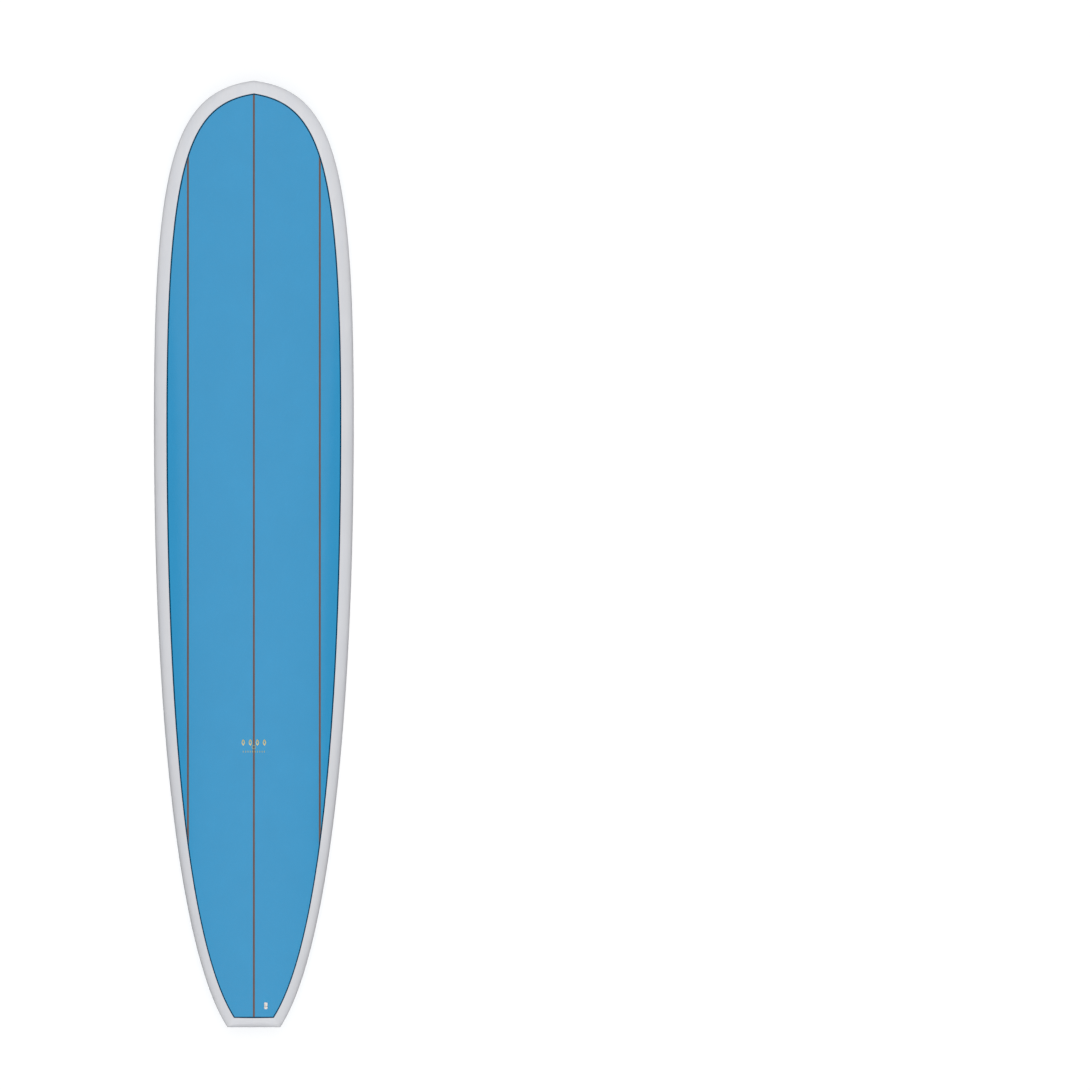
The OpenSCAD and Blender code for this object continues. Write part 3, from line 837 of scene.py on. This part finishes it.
def crease(s, start, end):
    """Stroke of painted highlight along part of one branch of the crease that edges the hollow under the
    nose: a lighter line where that edge would catch the light, the hollow itself not modelled.
    """
    (ax, ay), (bx, by) = (bez(*CREASE, t) for t in (start, end))
    dx, dy = (bx - ax) / 2, (by - ay) / 2
    nx, ny = (CREASE_W / 2 * v / math.hypot(dx, dy) for v in (dy, -dx))
    outline = [(s * (e * dx + f * nx), e * dy + f * ny) for e, f in ((-1, -1), (-1, 1), (1, 1), (1, -1))]
    return (s * (ax + bx) / 2, (ay + by) / 2), outline, SOLID


# Dashed painted highlight along both branches of the crease, in place of the light an unmodelled edge would
# catch.
crease_highlight_strokes = [crease(s, (q + 0.1) / STROKES, (q + 0.9) / STROKES) for s in (-1, 1) for q in range(STROKES)]
mark("bottom_nose_crease_painted_highlight", crease_highlight_strokes, on_bottom, CREASE_PAINTED_HIGHLIGHT)


# ---------------------------------------------------------------- set screws with thread and socket
THREAD_AROUND, THREAD_STEP, THREAD_PITCH, THREAD_DEPTH = 48, 0.1, 0.8, 0.35
CHAMFER, CHAMFER_SLOPE = 0.55, 0.9


def set_screw(name, s, node, body):
    """Lathe with a cut thread, chamfered ends and a hexagon socket."""
    rows = int(SCREW_LEN / THREAD_STEP)
    verts, faces = [], []
    for r in range(rows + 1):
        z = SCREW_LEN * r / rows
        end = min(z, SCREW_LEN - z)
        for q in range(THREAD_AROUND):
            a = 2 * math.pi * q / THREAD_AROUND
            wave = abs(((z / THREAD_PITCH + q / THREAD_AROUND) % 1.0) * 2 - 1)
            rad = SCREW_R - THREAD_DEPTH * max(0.0, min(1.0, wave * 1.3 - 0.15))
            rad = min(rad, SCREW_R - CHAMFER + end * CHAMFER_SLOPE)
            verts.append((rad * math.cos(a), rad * math.sin(a), z))
    for r in range(rows):
        low, up = r * THREAD_AROUND, (r + 1) * THREAD_AROUND
        for q in range(THREAD_AROUND):
            p = (q + 1) % THREAD_AROUND
            faces.append((low + q, low + p, up + p, up + q))
    faces.append(tuple(range(THREAD_AROUND))[::-1])
    faces.append(tuple(rows * THREAD_AROUND + q for q in range(THREAD_AROUND)))
    place = screw_place(s) @ Matrix.Translation((0, 0, SCREW_SINK))
    ob = new_object(name, [place @ Vector(v) * MM for v in verts], faces)
    hexagon = prism("cut_hex", circle_outline(HEX_R, 6), -1, HEX_DEPTH, place)
    boolean(ob, hexagon)
    remove(hexagon)
    smooth(ob, 40)
    ob.data.materials.append(SCREW_STEEL)
    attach(ob, body)
    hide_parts(node)


set_screw("left_screw_threaded", -1, "left_fin_screw", "left_screw")
set_screw("right_screw_threaded", 1, "right_fin_screw", "right_screw")

# ---------------------------------------------------------------- CAD nodes that stay
for name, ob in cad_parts.items():
    look = next((mat for key, mat in CAD_LOOKS.items() if key in name), None)
    if look:
        for n in range(len(ob.material_slots)):
            ob.material_slots[n].material = look

# ---------------------------------------------------------------- stage, light and camera
FLOOR_HALF, FLOOR_GREY, FLOOR_GLOW, FILL, BACKDROP = 40.0, 0.3, 0.76, 0.3, 1.0
LAMP_Z, LAMP_SIZE, LAMP_POWER = 6.0, (4.5, 14.0), 476.0
# Width of the view, its middle, and the camera's height, in mm. The board lies left of the middle.
VIEW_W, VIEW_X, VIEW_Y, VIEW_Z = 3189.34, 851.9049, 26.334, 16000.0


def floor_material():
    """Pale floor with a glow of its own, clear when seen from below."""
    mat = bpy.data.materials.new("pale_floor")
    mat.use_nodes = True
    nodes, links = mat.node_tree.nodes, mat.node_tree.links
    shader = nodes["Principled BSDF"]
    shader.inputs["Base Color"].default_value = (FLOOR_GREY, FLOOR_GREY, FLOOR_GREY, 1)
    shader.inputs["Roughness"].default_value = 1.0
    shader.inputs["Specular IOR Level"].default_value = 0.0
    shader.inputs["Emission Color"].default_value = (1, 1, 1, 1)
    shader.inputs["Emission Strength"].default_value = FLOOR_GLOW
    choose = nodes.new("ShaderNodeMixShader")
    links.new(nodes.new("ShaderNodeNewGeometry").outputs["Backfacing"], choose.inputs[0])
    links.new(shader.outputs[0], choose.inputs[1])
    links.new(nodes.new("ShaderNodeBsdfTransparent").outputs[0], choose.inputs[2])
    links.new(choose.outputs[0], nodes["Material Output"].inputs["Surface"])
    return mat


def pale_floor():
    corners = [(x * FLOOR_HALF, y * FLOOR_HALF, 0) for x, y in ((-1, -1), (1, -1), (1, 1), (-1, 1))]
    mesh = bpy.data.meshes.new("floor")
    mesh.from_pydata(corners, [], [(0, 1, 2, 3)])
    mesh.materials.append(floor_material())
    ob = bpy.data.objects.new("floor", mesh)
    bpy.context.scene.collection.objects.link(ob)
    ob.visible_diffuse = ob.visible_glossy = ob.visible_shadow = ob.visible_transmission = False
    return ob


def studio_world():
    """Faint white fill for lighting, and a white backdrop where the camera sees past the floor."""
    world = bpy.data.worlds.new("studio")
    world.use_nodes = True
    nodes, links = world.node_tree.nodes, world.node_tree.links
    fill, backdrop = nodes["Background"], nodes.new("ShaderNodeBackground")
    for node, strength in ((fill, FILL), (backdrop, BACKDROP)):
        node.inputs["Color"].default_value = (1, 1, 1, 1)
        node.inputs["Strength"].default_value = strength
    choose = nodes.new("ShaderNodeMixShader")
    links.new(nodes.new("ShaderNodeLightPath").outputs["Is Camera Ray"], choose.inputs[0])
    links.new(fill.outputs[0], choose.inputs[1])
    links.new(backdrop.outputs[0], choose.inputs[2])
    links.new(choose.outputs[0], nodes["World Output"].inputs["Surface"])
    return world


def softbox(name, height, turned):
    lamp = bpy.data.lights.new(name, "AREA")
    lamp.shape, lamp.energy = "RECTANGLE", LAMP_POWER
    lamp.size, lamp.size_y = LAMP_SIZE
    ob = bpy.data.objects.new(name, lamp)
    ob.location = (0, 0, height)
    ob.rotation_euler = (turned, 0, 0)
    ob.visible_camera = False
    bpy.context.scene.collection.objects.link(ob)


def look_down():
    camera = bpy.data.objects.new("camera", bpy.data.cameras.new("camera"))
    camera.data.type = "ORTHO"
    camera.data.ortho_scale = VIEW_W * MM
    camera.location = (VIEW_X * MM, VIEW_Y * MM, VIEW_Z * MM)
    camera.data.clip_end = 120
    bpy.context.scene.collection.objects.link(camera)
    return camera


floor = pale_floor()
bpy.context.scene.world = studio_world()
softbox("softbox_above", LAMP_Z, 0)
softbox("softbox_below", -LAMP_Z, math.pi)
bpy.context.scene.camera = look_down()
bpy.context.scene.view_settings.view_transform = "Standard"
